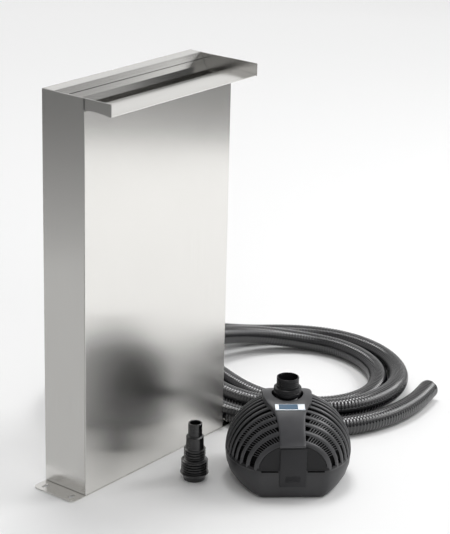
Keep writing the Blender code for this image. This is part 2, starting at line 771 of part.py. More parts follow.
def make_volute(pump):
    """The round pump chamber, with its outlet rising to an open cup for the ball joint."""
    centre = Vector((0, 0, MOTOR_HEIGHT))
    half = Vector((0, VOLUTE_HALF_DEPTH, 0))
    data = cylinder_mesh(VOLUTE_RADIUS, centre - half, centre + half, "Y", 32)
    volute = add_object("volute_housing", data, PUMP_PLASTIC, pump)
    cup_radius = BALL_RADIUS + 0.003
    join(volute, cylinder_mesh(cup_radius, (0, 0, CUP_LOW), (0, 0, BALL_HEIGHT - 0.001)))
    cut(volute, cylinder_mesh(0.0094, (0, 0, MOTOR_HEIGHT + 0.01), (0, 0, BALL_HEIGHT - 0.005), sides=20))
    cut(volute, sphere_mesh(BALL_RADIUS + 0.0006, (0, 0, BALL_HEIGHT)))
    cut(volute, cylinder_mesh(COVER_RADIUS + GAP, centre - 2.5 * half, centre - 1.01 * half, "Y", 32))
    front = centre - half * 1.2
    back = centre + half * 0.72
    cut(volute, cylinder_mesh(0.0295, front, back, "Y"))
    cut(volute, cylinder_mesh(ROTOR_WELL, centre, centre + half * 1.5, "Y"))
    for x, z in screw_places():
        low = Vector((x, -VOLUTE_HALF_DEPTH - 0.002, z))
        cut(volute, cylinder_mesh(SCREW_HOLE, low, low + Vector((0, 0.012, 0)), "Y", 12))


def screw_places():
    places = []
    for quarter in range(4):
        angle = math.pi / 4 + quarter * math.pi / 2
        x = SCREW_CIRCLE * math.cos(angle)
        z = MOTOR_HEIGHT + SCREW_CIRCLE * math.sin(angle)
        places.append((x, z))
    return places


def make_suction_cover(pump):
    """The chamber's front cover: an open eye crossed by the bar that holds the front bearing."""
    back = -VOLUTE_HALF_DEPTH - GAP
    thickness = 0.003
    along_y = (-math.pi / 2, 0, 0)
    cover = turned("suction_cover", [
        (0.015, back), (COVER_RADIUS, back), (COVER_RADIUS, back - thickness), (0.015, back - thickness),
    ], PUMP_PLASTIC, pump, (0, 0, MOTOR_HEIGHT), along_y, 32)
    bar = box_mesh((-0.0165, -0.004, back - thickness + 0.0004), (0.0165, 0.004, back - 0.0004))
    join(cover, bar)
    join(cover, cylinder_mesh(0.0065, (0, 0, back - thickness - 0.003), (0, 0, back - 0.0004)))
    cut(cover, cylinder_mesh(0.0045, (0, 0, back - thickness - 0.01), (0, 0, back + 0.001)))
    # A flat on the cover's upper edge leaves room for the ball to tilt
    cut(cover, box_mesh((-0.02, -0.05, back - 0.01), (0.02, -COVER_FLAT, back + 0.005)))
    for x, z in screw_places():
        place = Vector((x, MOTOR_HEIGHT - z, back))
        reach = Vector((0, 0, 0.01))
        cut(cover, cylinder_mesh(SCREW_HOLE, place - reach, place + reach, "Z", 12))
    bearing_profile = [
        (BEARING_BORE, back), (0.0042, back), (0.0042, back - 0.0055), (BEARING_BORE, back - 0.0055),
    ]
    turned("front_bearing", bearing_profile, CERAMIC, pump, (0, 0, MOTOR_HEIGHT), along_y, 32)


def make_cover_screws(pump):
    seat = VOLUTE_HALF_DEPTH + GAP + 0.003 + GAP
    profile = [
        (0, seat + 0.0024), (0.0026, seat + 0.0024), (0.0037, seat + 0.0012), (0.0037, seat),
        (SCREW_RADIUS, seat), (SCREW_RADIUS, seat - 0.0105), (0, seat - 0.0105),
    ]
    for number, (x, z) in enumerate(screw_places(), 1):
        turned(f"cover_screw_{number}", profile, BRIGHT_STEEL, pump, (x, 0, z), (math.pi / 2, 0, 0), 12)


def make_motor(pump):
    """The sealed motor, a turned cup around the rotor's well, and the saddle that holds it."""
    along_y = (-math.pi / 2, 0, 0)
    start = VOLUTE_HALF_DEPTH + GAP
    end = 0.070
    well_end = 0.0615
    turned("motor_housing", [
        (0, end), (MOTOR_RADIUS - 0.003, end), (MOTOR_RADIUS, end - 0.003), (MOTOR_RADIUS, start + 0.004),
        (MOTOR_RADIUS - 0.0035, start), (ROTOR_WELL, start), (ROTOR_WELL, well_end), (0, well_end),
    ], PUMP_PLASTIC, pump, (0, 0, MOTOR_HEIGHT), along_y, 32)
    turned("rear_bearing", [
        (BEARING_BORE, well_end - GAP), (ROTOR_WELL - GAP, well_end - GAP),
        (ROTOR_WELL - GAP, well_end - 0.005), (BEARING_BORE, well_end - 0.005),
    ], CERAMIC, pump, (0, 0, MOTOR_HEIGHT), along_y, 32)
    seal_inner = MOTOR_RADIUS - 0.0013
    seal_outer = MOTOR_RADIUS + 0.0002
    turned("motor_seal", [
        (seal_inner, start + 0.0022), (seal_outer, start + 0.0022),
        (seal_outer, start + 0.0004), (seal_inner, start + 0.0004),
    ], RUBBER, pump, (0, 0, MOTOR_HEIGHT), along_y)
    block = box_mesh((-0.026, 0.024, 0.0052), (0.026, 0.060, 0.036))
    saddle = add_object("motor_saddle", block, PUMP_PLASTIC, pump)
    low = (0, 0.010, MOTOR_HEIGHT)
    high = (0, 0.075, MOTOR_HEIGHT)
    cut(saddle, cylinder_mesh(MOTOR_RADIUS + GAP, low, high, "Y", 32))


def make_rotor(rotor):
    """What the motor turns: the magnet sleeve and impeller on one shaft, along the rotor's Z."""
    start = -VOLUTE_HALF_DEPTH - 0.0045
    turned("motor_shaft", [(0, 0.060), (SHAFT_RADIUS, 0.060), (SHAFT_RADIUS, start), (0, start)],
           BRIGHT_STEEL, rotor, steps=32)
    bore = SHAFT_RADIUS + GAP
    turned("rotor_magnet", [
        (bore, 0.054), (ROTOR_RADIUS - 0.0008, 0.054), (ROTOR_RADIUS, 0.053), (ROTOR_RADIUS, 0.014),
        (ROTOR_RADIUS - 0.0008, 0.013), (bore, 0.013),
    ], MAGNET, rotor)
    impeller = turned("impeller", [
        (bore, 0.0085), (0.027, 0.0085), (0.027, 0.0065),
        (0.0065, 0.0065), (0.0055, -0.0115), (bore, -0.0115),
    ], IMPELLER_PLASTIC, rotor, steps=32)
    for vane in range(6):
        turn = Matrix.Rotation(vane * math.pi / 3, 4, "Z")
        data = box_mesh((0.004, -0.0009, -0.0105), (0.026, 0.0009, 0.0075))
        data.transform(turn)
        join(impeller, data)


def make_outlet(pivot, collar_pivot):
    """The outlet: a ball in the volute's cup with a hose neck, and the union ring around the neck.

    Heights in both profiles are above the ball's centre.
    """
    top = NOZZLE_TOP - BALL_HEIGHT
    neck_start = math.sqrt(BALL_RADIUS ** 2 - NECK_RADIUS ** 2)
    outside = [(NECK_RADIUS - 0.0008, top), (NECK_RADIUS, top - 0.001), (NECK_RADIUS, neck_start)]
    for degrees in (30, 12, -8, -28, -48):
        angle = math.radians(degrees)
        outside.append((BALL_RADIUS * math.cos(angle), BALL_RADIUS * math.sin(angle)))
    low = -0.0178
    bore = [(NECK_BORE - 0.002, low), (NECK_BORE, low + 0.004), (NECK_BORE, top)]
    turned("outlet_nozzle", outside + bore, FITTING_PLASTIC, pivot)
    inner = NECK_RADIUS + GAP
    turned("union_collar", [
        (inner, 0.0330), (0.0188, 0.0330), (COLLAR_RADIUS, 0.0318),
        (COLLAR_RADIUS, 0.0210), (inner, 0.0210),
    ], FITTING_PLASTIC, collar_pivot)


def make_gland(pump):
    """The cable gland on the lower shell's back, empty."""
    turned("cable_gland", [
        (0.004, 0.0965), (0.0065, 0.0965), (0.008, 0.0900), (0.010, 0.0895), (0.010, PUMP_FACE + GAP),
        (0.006, PUMP_FACE + GAP), (0.006, 0.072), (0.004, 0.072),
    ], RUBBER, pump, (0, 0, 0.026), (-math.pi / 2, 0, 0))


def make_pump():
    pump = add_empty("pump_frame", PUMP_PLACE, (0, 0, PUMP_YAW))
    make_lower_shell(pump)
    make_feet(pump)
    make_gland(pump)
    core = add_empty("pump_core", (CORE_OFFSET, 0, 0), (0, 0, 0), pump)
    make_volute(core)
    make_suction_cover(core)
    make_cover_screws(core)
    make_motor(core)
    cage = add_empty("cage_lift", (0, 0, 0), (0, 0, 0), pump)
    make_cage(cage)
    make_strap(cage)
    make_badge(cage)
    latch_y = -PUMP_FACE - GAP - 0.001
    make_latch(add_empty("latch_hinge", (0, latch_y, LATCH_TOP), (0, 0, 0), cage))
    make_rotor(add_empty("rotor_axis", (0, 0, MOTOR_HEIGHT), (-math.pi / 2, 0, 0), core))
    outlet = add_empty("outlet_tilt", (0, 0, BALL_HEIGHT), (0, 0, 0), core)
    make_outlet(outlet, add_empty("collar_spin", (0, 0, 0), (0, 0, 0), outlet))


make_column()
make_hose()
make_adapter()
make_pump()
smooth_shading()
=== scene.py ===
"""Waterfall column kit: the looks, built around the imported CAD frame.

Metres, +Z up, in the CAD's frame. The pump's pieces are made in the pump's own axes (front towards
-Y) and then placed with PUMP.
"""

import math

import bmesh
import bpy
import numpy as np
from mathutils import Matrix, Vector


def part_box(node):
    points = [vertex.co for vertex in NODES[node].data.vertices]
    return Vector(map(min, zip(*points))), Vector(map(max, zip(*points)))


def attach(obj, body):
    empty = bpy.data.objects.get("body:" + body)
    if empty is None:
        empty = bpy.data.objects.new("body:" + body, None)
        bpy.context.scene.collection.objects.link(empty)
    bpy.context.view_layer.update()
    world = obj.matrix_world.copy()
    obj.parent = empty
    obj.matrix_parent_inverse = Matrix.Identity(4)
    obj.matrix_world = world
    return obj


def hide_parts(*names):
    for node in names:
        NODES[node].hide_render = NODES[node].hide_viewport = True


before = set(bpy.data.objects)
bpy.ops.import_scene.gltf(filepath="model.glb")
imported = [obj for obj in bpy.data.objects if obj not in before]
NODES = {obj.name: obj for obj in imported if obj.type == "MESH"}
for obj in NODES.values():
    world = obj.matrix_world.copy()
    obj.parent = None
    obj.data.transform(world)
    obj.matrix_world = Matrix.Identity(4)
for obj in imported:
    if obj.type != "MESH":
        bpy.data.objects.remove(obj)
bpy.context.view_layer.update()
STEEL_NODES = [
    "front_panel", "rear_casing", "top_cover_baffle", "spout_lip", "overflow_tank", "left_cheek",
    "right_cheek", "base_plate",
]
STEEL_COLOUR = (0.76, 0.75, 0.725)

# The pump's place, and its sizes in its own axes
PUMP = Matrix.Translation((0.093, -0.218, 0)) @ Matrix.Rotation(math.radians(-47.8), 4, "Z")
PUMP_RADIUS = 0.094
PUMP_FACE = 0.079
CORE_OFFSET = -0.004
RIM_HEIGHT = 0.045
CAGE_RISE = 0.087
CAGE_FULLNESS = 0.6
CAGE_FOOT = RIM_HEIGHT + 0.0003
RIB_PITCH = 0.01013
RIB_COUNT = 16
RIB_WIDTH = 0.0043
RIB_DEPTH = 0.0018
RIB_CORNER = 0.0015
TOOTH_SPACING = 0.0043
TEETH_REAR = -0.038
RIM_BAND = 0.0033
RIM_WALL = 0.0028
SHELL_WALL = 0.003
STRAP_THICKNESS = 0.0028
STRAP_FRONT = -0.0818
STRAP_REAR = 0.040
BADGE_FRONT = -0.0412
BADGE_DEPTH = 0.0100
LATCH_HALF_WIDTH = 0.0193
LATCH_TOP = 0.081
LATCH_LOW = 0.020
BALL_HEIGHT = 0.113
BALL_RADIUS = 0.024
OUTLET_OPENING = 0.0238
NECK_RADIUS = 0.0165
NECK_BORE = 0.0145
NOZZLE_TOP = 0.161

# Adapter and hose
ADAPTER_PLACE = Vector((-0.0073, -0.1198, 0))
ADAPTER_HEIGHT = 0.091
HOSE_RADIUS = 0.016
HOSE_BORE = 0.0128
HOSE_RIB = 0.0055
HOSE_RIB_DEPTH = 0.0008
HOSE_LENGTH = 3.18

# The hose's route: free end, two loops on the ground, behind the column, inlet
HOSE_ROUTE = [
    (0.478, -0.221, 0.016), (0.44, -0.231, 0.016), (0.4, -0.237, 0.016), (0.355, -0.235, 0.016),
    (0.31, -0.224, 0.016), (0.269, -0.204, 0.016), (0.233, -0.173, 0.016), (0.204, -0.132, 0.016),
    (0.186, -0.084, 0.017), (0.18, -0.035, 0.0186), (0.18, 0.012, 0.0186), (0.186, 0.062, 0.0186),
    (0.205, 0.11, 0.025), (0.237, 0.15, 0.038), (0.278, 0.18, 0.048), (0.325, 0.194, 0.052),
    (0.377, 0.189, 0.042), (0.423, 0.174, 0.028), (0.464, 0.152, 0.018), (0.498, 0.126, 0.016),
    (0.526, 0.095, 0.016), (0.548, 0.058, 0.016), (0.5605, 0.02, 0.016), (0.5635, -0.018, 0.016),
    (0.559, -0.052, 0.016), (0.548, -0.083, 0.016), (0.531, -0.112, 0.017), (0.508, -0.138, 0.019),
    (0.481, -0.161, 0.023), (0.452, -0.179, 0.027), (0.423, -0.193, 0.03), (0.39, -0.201, 0.031),
    (0.356, -0.202, 0.032), (0.322, -0.195, 0.032), (0.29, -0.178, 0.032), (0.261, -0.15, 0.031),
    (0.239, -0.112, 0.029), (0.226, -0.068, 0.027), (0.222, -0.02, 0.025), (0.227, 0.028, 0.025),
    (0.242, 0.073, 0.033), (0.271, 0.112, 0.045), (0.313, 0.138, 0.053), (0.361, 0.144, 0.048),
    (0.406, 0.135, 0.039), (0.448, 0.116, 0.031), (0.485, 0.087, 0.023), (0.511, 0.053, 0.017),
    (0.526, 0.016, 0.016), (0.525, -0.024, 0.016), (0.515, -0.064, 0.016), (0.494, -0.102, 0.016),
    (0.463, -0.134, 0.016), (0.424, -0.155, 0.016), (0.382, -0.164, 0.016), (0.341, -0.156, 0.016),
    (0.303, -0.133, 0.016), (0.276, -0.096, 0.016), (0.265, -0.052, 0.016), (0.268, -0.004, 0.016),
    (0.281, 0.042, 0.016), (0.3, 0.084, 0.016), (0.309, 0.125, 0.016), (0.302, 0.168, 0.016),
    (0.28, 0.207, 0.016), (0.243, 0.237, 0.016), (0.198, 0.252, 0.016), (0.15, 0.2495, 0.0165),
    (0.103, 0.234, 0.018), (0.062, 0.209, 0.023), (0.029, 0.179, 0.029), (0.0075, 0.148, 0.033),
    (0, 0.12, 0.034), (0, 0.1, 0.034), (0, 0.08, 0.034), (0, 0.0584, 0.034),
]

# Camera and stage
CAMERA_PLACE = (-1.9792, -1.7175, 1.2546)
CAMERA_TURN = (70.109, -1.326, -51.368)
CAMERA_LENS = 150.43
FLOOR_RADIUS = 9
TO_CAMERA = (-0.78, -0.62, 0)
TO_CAMERA_RIGHT = (0.62, -0.78, 0)


# ---------------------------------------------------------------- camera


def make_camera():
    data = bpy.data.cameras.new("camera")
    data.sensor_fit = "HORIZONTAL"
    data.sensor_width = 36
    data.lens = CAMERA_LENS
    data.clip_end = 20
    camera = bpy.data.objects.new("camera", data)
    camera.location = CAMERA_PLACE
    camera.rotation_euler = [math.radians(angle) for angle in CAMERA_TURN]
    bpy.context.scene.collection.objects.link(camera)
    bpy.context.scene.camera = camera


# ---------------------------------------------------------------- materials


class Nodes:
    """Shortens the making of one material's node tree."""

    def __init__(self, name, colour, roughness, metallic=0.0):
        self.material = bpy.data.materials.new(name)
        self.material.use_nodes = True
        self.tree = self.material.node_tree
        self.shader = self.tree.nodes["Principled BSDF"]
        self.shader.inputs["Base Color"].default_value = (*colour, 1)
        self.shader.inputs["Roughness"].default_value = roughness
        self.shader.inputs["Metallic"].default_value = metallic
        self.place = self.tree.nodes.new("ShaderNodeTexCoord")

    def noise(self, scale, detail, stretch=(1, 1, 1)):
        mapping = self.tree.nodes.new("ShaderNodeMapping")
        mapping.inputs["Scale"].default_value = stretch
        self.tree.links.new(self.place.outputs["Object"], mapping.inputs["Vector"])
        noise = self.tree.nodes.new("ShaderNodeTexNoise")
        noise.inputs["Scale"].default_value = scale
        noise.inputs["Detail"].default_value = detail
        noise.inputs["Roughness"].default_value = 0.55
        self.tree.links.new(mapping.outputs["Vector"], noise.inputs["Vector"])
        return noise.outputs["Fac"]

    def spread(self, value, low, high, start=0.3, end=0.7):
        """Maps the middle of a noise to a range."""
        ranged = self.tree.nodes.new("ShaderNodeMapRange")
        ranged.inputs["From Min"].default_value = start
        ranged.inputs["From Max"].default_value = end
        ranged.inputs["To Min"].default_value = low
        ranged.inputs["To Max"].default_value = high
        self.tree.links.new(value, ranged.inputs["Value"])
        return ranged.outputs["Result"]

    def colours(self, value, stops):
        ramp = self.tree.nodes.new("ShaderNodeValToRGB")
        elements = ramp.color_ramp.elements
        while len(elements) < len(stops):
            elements.new(0.5)
        for element, (position, colour) in zip(elements, stops):
            element.position = position
            element.color = (*colour, 1)
        self.tree.links.new(value, ramp.inputs["Fac"])
        self.tree.links.new(ramp.outputs["Color"], self.shader.inputs["Base Color"])

    def rough(self, value):
        self.tree.links.new(value, self.shader.inputs["Roughness"])

    def bump(self, value, strength, distance):
        bump = self.tree.nodes.new("ShaderNodeBump")
        bump.inputs["Strength"].default_value = strength
        bump.inputs["Distance"].default_value = distance
        self.tree.links.new(value, bump.inputs["Height"])
        self.tree.links.new(bump.outputs["Normal"], self.shader.inputs["Normal"])

    def smear(self, axis, amount):
        """Stretches reflections the way round an axis."""
        tangent = self.tree.nodes.new("ShaderNodeTangent")
        tangent.direction_type = "RADIAL"
        tangent.axis = axis
        self.tree.links.new(tangent.outputs["Tangent"], self.shader.inputs["Tangent"])
        self.shader.inputs["Anisotropic"].default_value = amount


def brushed_steel(name, stretch, axis, roughness=0.23):
    """Stainless sheet with its grain along the axis that stretch squeezes.

    Reflections smear the way round the given axis.
    """
    made = Nodes(name, STEEL_COLOUR, roughness, 1.0)
    grain = made.noise(900, 2.0, stretch)
    broad = made.noise(7, 2.0)
    darker = tuple(channel * 0.965 for channel in STEEL_COLOUR)
    lighter = tuple(channel * 1.02 for channel in STEEL_COLOUR)
    made.colours(grain, [(0.3, darker), (0.7, lighter)])
    made.rough(made.spread(broad, roughness - 0.03, roughness + 0.03, 0.0, 1.0))
    made.bump(grain, 0.06, 0.00003)
    made.smear(axis, 0.88)
    return made.material


def moulded(name, colour, roughness, grain=2600, strength=0.12, coat=0.0, sheen=0.5):
    """Injection-moulded plastic: a fine texture, and handling that shows in the gloss."""
    made = Nodes(name, colour, roughness)
    fine = made.noise(grain, 2.0)
    broad = made.noise(32, 4.0)
    darker = tuple(channel * 0.86 for channel in colour)
    lighter = tuple(channel * 1.16 for channel in colour)
    made.colours(broad, [(0.3, darker), (0.7, lighter)])
    made.rough(made.spread(broad, roughness - 0.06, roughness + 0.06))
    made.bump(fine, strength, 0.00008)
    made.shader.inputs["Specular IOR Level"].default_value = sheen
    made.shader.inputs["Coat Weight"].default_value = coat
    made.shader.inputs["Coat Roughness"].default_value = 0.12
    return made.material


def make_materials():
    upright_grain = (1, 1, 0.012)
    cross_grain = (0.012, 1, 1)
    return {
        "steel_upright": brushed_steel("steel_upright", upright_grain, "Z"),
        "steel_cross": brushed_steel("steel_cross", cross_grain, "X", 0.20),
        "steel_edge": brushed_steel("steel_edge", cross_grain, "Z", 0.235),
        "screw_steel": brushed_steel("screw_steel_look", (1, 1, 1), "Z", 0.20),
        "hose": moulded("hose_look", (0.004, 0.004, 0.005), 0.20, 1800, 0.04, 0.7, 0.5),
        "shell": moulded("shell_look", (0.027, 0.027, 0.029), 0.42),
        "ribs": moulded("rib_look", (0.036, 0.036, 0.039), 0.34, 2600, 0.12, 0.0, 0.6),
        "strap": moulded("strap_look", (0.045, 0.045, 0.049), 0.42, 3400, 0.18),
        "dark": moulded("dark_look", (0.005, 0.005, 0.006), 0.30, 2600, 0.08, 0.0, 0.3),
        # Darker than the shell: painted shade of the recessed rim band and flat panels under the dome
        "recess_shade": moulded("recess_shade_look", (0.011, 0.011, 0.012), 0.50, 2600, 0.12, 0.0, 0.3),
        # Darker than the shell: painted shade of the latch in the recessed half-disc region
        "tongue": moulded("shaded_tongue_look", (0.017, 0.017, 0.019), 0.46, 2600, 0.12, 0.0, 0.4),
        "adapter": moulded("adapter_look", (0.004, 0.004, 0.0045), 0.30, 2600, 0.08, 0.5, 0.5),
        # Near-black painted shade: stands in for the shade inside the slots, slits, joints and crease
        "painted_shade": moulded("painted_shade_look", (0.0012, 0.0012, 0.0013), 0.80, 2600, 0.05, 0.0, 0.1),
        "rubber": moulded("rubber_look", (0.022, 0.022, 0.022), 0.75),
        "badge_blue": moulded("badge_blue_look", (0.022, 0.085, 0.16), 0.35, 900, 0.02, 0.0, 0.3),
        "badge_pale": moulded("badge_pale_look", (0.62, 0.68, 0.74), 0.22, 900, 0.02, 0.5),
        "ceramic": moulded("ceramic_look", (0.78, 0.75, 0.68), 0.25, 1500, 0.03),
        "impeller": moulded("impeller_look", (0.52, 0.52, 0.49), 0.45),
        "sleeve": moulded("sleeve_look", (0.10, 0.10, 0.11), 0.30),
    }


# ---------------------------------------------------------------- helpers


def add_piece(name, work, material, body, replaced=(), place=None, sharp=35):
    """Turns a bmesh into a piece that rides on a body."""
    bmesh.ops.remove_doubles(work, verts=work.verts, dist=1e-6)
    bmesh.ops.recalc_face_normals(work, faces=work.faces)
    data = bpy.data.meshes.new(name)
    work.to_mesh(data)
    work.free()
    if place is not None:
        data.transform(place)
    data.materials.append(material)
    data.polygons.foreach_set("use_smooth", [True] * len(data.polygons))
    data.set_sharp_from_angle(angle=math.radians(sharp))
    piece = bpy.data.objects.new(name, data)
    bpy.context.scene.collection.objects.link(piece)
    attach(piece, body)
    if replaced:
        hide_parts(*replaced)
    return piece


def loft(work, rings, capped=False):
    """Joins closed rings of points with quads."""
    made = [[work.verts.new(point) for point in ring] for ring in rings]
    count = len(made[0])
    for near, far in zip(made, made[1:]):
        for i in range(count):
            after = (i + 1) % count
            work.faces.new((near[i], near[after], far[after], far[i]))
    if capped:
        work.faces.new(made[0])
        work.faces.new(made[-1])


def turned(work, profile, centre):
    """A closed turned shape from a profile of (radius, height) that runs round its wall."""
    sides = 96
    rings = []
    for radius, height in list(profile) + [profile[0]]:
        ring = []
        for side in range(sides):
            angle = 2 * math.pi * side / sides
            x = centre[0] + radius * math.cos(angle)
            y = centre[1] + radius * math.sin(angle)
            ring.append((x, y, centre[2] + height))
        rings.append(ring)
    loft(work, rings)


def block(work, low, high, place=None):
    """A box between two corners, with its edges eased."""
    centre = (Vector(low) + Vector(high)) / 2
    size = Vector(high) - Vector(low)
    shape = Matrix.Translation(centre) @ Matrix.Diagonal((*size, 1))
    if place is not None:
        shape = place @ shape
    found = bmesh.ops.create_cube(work, size=1, matrix=shape)
    edges = {edge for vert in found["verts"] for edge in vert.link_edges}
    ease = min(size) * 0.18
    bmesh.ops.bevel(work, geom=list(edges), offset=ease, segments=2, affect="EDGES", profile=0.5)


def arc(centre, radius, start, end, steps):
    """Points on a circle, from one angle in degrees to another."""
    points = []
    for step in range(steps + 1):
        angle = math.radians(start + (end - start) * step / steps)
        points.append((centre[0] + radius * math.cos(angle), centre[1] + radius * math.sin(angle)))
    return points


# ---------------------------------------------------------------- hose


def curve_through(points):
    """Points on a smooth curve through the given points."""
    steps = 24
    points = np.array(points)
    padded = np.vstack([2 * points[0] - points[1], points, 2 * points[-1] - points[-2]])
    found = []
    for i in range(1, len(padded) - 2):
        a, b, c, d = padded[i - 1:i + 3]
        for step in range(steps):
            t = step / steps
            bend = (2 * a - 5 * b + 4 * c - d) * t * t + (3 * b - 3 * c + d - a) * t ** 3
            found.append(0.5 * (2 * b + (c - a) * t + bend))
    found.append(padded[-2])
    return np.array(found)


def evenly_spaced(points, count):
    """A line's points, spread again at even distances along it."""
    steps = np.linalg.norm(np.diff(points, axis=0), axis=1)
    along = np.concatenate([[0], np.cumsum(steps)])
    wanted = np.linspace(0, along[-1], count)
    return np.column_stack([np.interp(wanted, along, points[:, k]) for k in range(3)])


def hose_centreline(count):
    """The route as a smooth line, with small wobbles between its points averaged out."""
    line = evenly_spaced(curve_through(HOSE_ROUTE), 160)
    for _ in range(4):
        line[1:-1] = (line[:-2] + 2 * line[1:-1] + line[2:]) / 4
    return evenly_spaced(curve_through(line), count)


def make_hose(looks):
    """A spiral hose: one helical rib round a smooth bore that is open at the free end."""
    steps_per_rib = 7
    sides = 28
    count = int(HOSE_LENGTH / HOSE_RIB) * steps_per_rib
    line = hose_centreline(count)
    along = np.gradient(line, axis=0)
    along /= np.linalg.norm(along, axis=1)[:, None]
    across = np.cross(along, (0, 0, 1))
    across /= np.linalg.norm(across, axis=1)[:, None]
    upward = np.cross(across, along)
    rings = []
    bore_stride = 6
    bore_end = bore_stride * steps_per_rib
    for i in range(bore_end, -1, -bore_stride):
        rings.append(hose_ring(line[i], across[i], upward[i], [HOSE_BORE] * sides))
    for i in range(count):
        radii = []
        for side in range(sides):
            turn = (i / steps_per_rib - side / sides) % 1
            radii.append(HOSE_RADIUS - HOSE_RIB_DEPTH * math.cos(math.pi * turn) ** 2)
        rings.append(hose_ring(line[i], across[i], upward[i], radii))
    work = bmesh.new()
    loft(work, rings, capped=True)
    piece = add_piece("spiral_hose", work, looks["hose"], "root", ["hose"], sharp=60)


def hose_ring(centre, across, upward, radii):
    """One ring of the hose's surface, with a radius for each of its points."""
    ring = []
    for side, radius in enumerate(radii):
        angle = 2 * math.pi * side / len(radii)
        ring.append(centre + radius * (math.cos(angle) * across + math.sin(angle) * upward))
    return ring


# ---------------------------------------------------------------- adapter


def make_adapter(looks):
    """The stepped adapter: two plain steps, two barbed steps and a foot ring."""
    groove = 0.0009
    outside = [(0.0096, ADAPTER_HEIGHT)] + arc((0.0096, ADAPTER_HEIGHT - 0.0008), 0.0008, 90, 0, 3)
    outside += [(0.0104, 0.0722), (0.0109, 0.0710), (0.0126, 0.0700), (0.0131, 0.0692)]
    outside += [(0.0134, 0.0550), (0.0138, 0.0540)]
    for root, tip, top, bottom, barbs in (
        (0.0150, 0.0163, 0.0520, 0.0350, 4), (0.0186, 0.0200, 0.0335, 0.0130, 5),
    ):
        pitch = (top - bottom) / barbs
        for barb in range(barbs):
            upper = top - barb * pitch
            outside += [
                (root - groove, upper), (root - groove, upper - 0.34 * pitch),
                (tip - 0.0005, upper - 0.44 * pitch), (tip, upper - 0.54 * pitch),
                (tip, upper - 0.70 * pitch), (root - groove, upper - 0.90 * pitch),
            ]
    outside += [(0.0208, 0.0126), (0.0213, 0.0118), (0.0212, 0.0108), (0.0172, 0.0066)]
    outside += [(0.0168, 0.0056), (0.0166, 0.0008), (0.0160, 0)]
    bore = [(0.0150, 0), (0.0145, 0.0006), (0.0145, 0.030), (0.0083, 0.055)]
    bore += [(0.0083, ADAPTER_HEIGHT - 0.0005), (0.0087, ADAPTER_HEIGHT)]
    work = bmesh.new()
    turned(work, outside + bore, ADAPTER_PLACE)
    add_piece(
        "stepped_adapter", work, looks["adapter"], "adapter", ["hose_adapter"], sharp=28,
    )


# ---------------------------------------------------------------- pump


def cage_rise(y):
    return CAGE_RISE * max(0, 1 - (y / PUMP_RADIUS) ** 2) ** CAGE_FULLNESS


def cage_half_width(y):
    return PUMP_RADIUS * math.sqrt(max(0, 1 - (y / PUMP_RADIUS) ** 2))


def dome_point(y, angle, inset=0.0):
    """A point on the dome's arch at y; the angle runs from one side over the top to the other."""
    half = cage_half_width(y) - inset
    rise = cage_rise(y) - inset
    return Vector((half * math.cos(angle), y, CAGE_FOOT + rise * math.sin(angle)))


def rib_section(y, angle):
    """A rib's rounded section at one place along its arch."""
    half = RIB_WIDTH / 2
    curve = arc((half - RIB_CORNER, RIB_CORNER), RIB_CORNER, 0, -90, 3)
    outline = [(-half, RIB_DEPTH)] + [(-across, down) for across, down in curve]
    outline += curve[::-1] + [(half, RIB_DEPTH)]
    limit = PUMP_FACE + 0.0001
    points = []
    for offset, depth in outline:
        place = max(-limit, min(limit, y + offset))
        points.append(dome_point(place, angle, depth))
    return points


def open_spans(y):
    """The stretches of a rib's arch, as angles, that leave the outlet's opening free."""
    nearest = max(0, abs(y) - RIB_WIDTH / 2)
    if nearest >= OUTLET_OPENING:
        return [(0, math.pi)]
    chord = math.sqrt(OUTLET_OPENING ** 2 - nearest ** 2)
    reach = cage_half_width(y)
    first_end = math.acos((CORE_OFFSET + chord) / reach)
    second_start = math.acos((CORE_OFFSET - chord) / reach)
    return [(0, first_end), (second_start, math.pi)]


def make_ribs(looks):
    """The dome's arched ribs and the spine under the strap, then the rim, teeth and the near-black sheet
    of painted shade inside.
    """
    arch_steps = 64
    spine_steps = 16
    work = bmesh.new()
    for rib in range(RIB_COUNT):
        y = (rib - (RIB_COUNT - 1) / 2) * RIB_PITCH
        for start, end in open_spans(y):
            steps = math.ceil(arch_steps * (end - start) / math.pi)
            turns = [start + (end - start) * step / steps for step in range(steps + 1)]
            loft(work, [rib_section(y, turn) for turn in turns], capped=True)
    for direction in (-1, 1):
        rings = []
        for step in range(spine_steps + 1):
            y = direction * (PUMP_FACE + (OUTLET_OPENING - PUMP_FACE) * step / spine_steps)
            ring = [dome_point(y, math.radians(angle), 0.0004) for angle in (100, 95, 90, 85, 80)]
            ring += [dome_point(y, math.radians(angle), 0.0032) for angle in (80, 90, 100)]
            rings.append(ring)
        loft(work, rings, capped=True)
    ribs = add_piece("strainer_ribs", work, looks["ribs"], "cage", place=PUMP)
    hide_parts("strainer_cage")
    make_rim(looks)
    make_teeth(looks)
    make_slot_shade(looks)


def make_slot_shade(looks):
    """Painted shade: a near-black sheet inside the cage on both sides of the spine, and a near-black skirt
    round the outlet's opening.
    """
    work = bmesh.new()
    inner = OUTLET_OPENING + 0.0001
    outer = inner + 0.0007
    low, high = 0.1235, 0.1308
    turned(work, [(inner, low), (outer, low), (outer, high), (inner, high)], (CORE_OFFSET, 0, 0))
    reach = 0.0765
    stations = 24
    for side in (0, 1):
        rings = []
        for step in range(stations + 1):
            y = -reach + 2 * reach * step / stations
            ring = []
            for inset, angles in ((0.0048, range(6, 74, 4)), (0.0056, range(70, 2, -4))):
                for angle in angles:
                    turn = math.radians(180 - angle if side else angle)
                    ring.append(dome_point(y, turn, inset))
            rings.append(ring)
        loft(work, rings, capped=True)
    # Painted shade: the near-black sheet and skirt stand in for the shade seen through the slots and round
    # the outlet
    add_piece("strainer_lining", work, looks["painted_shade"], "cage", place=PUMP)


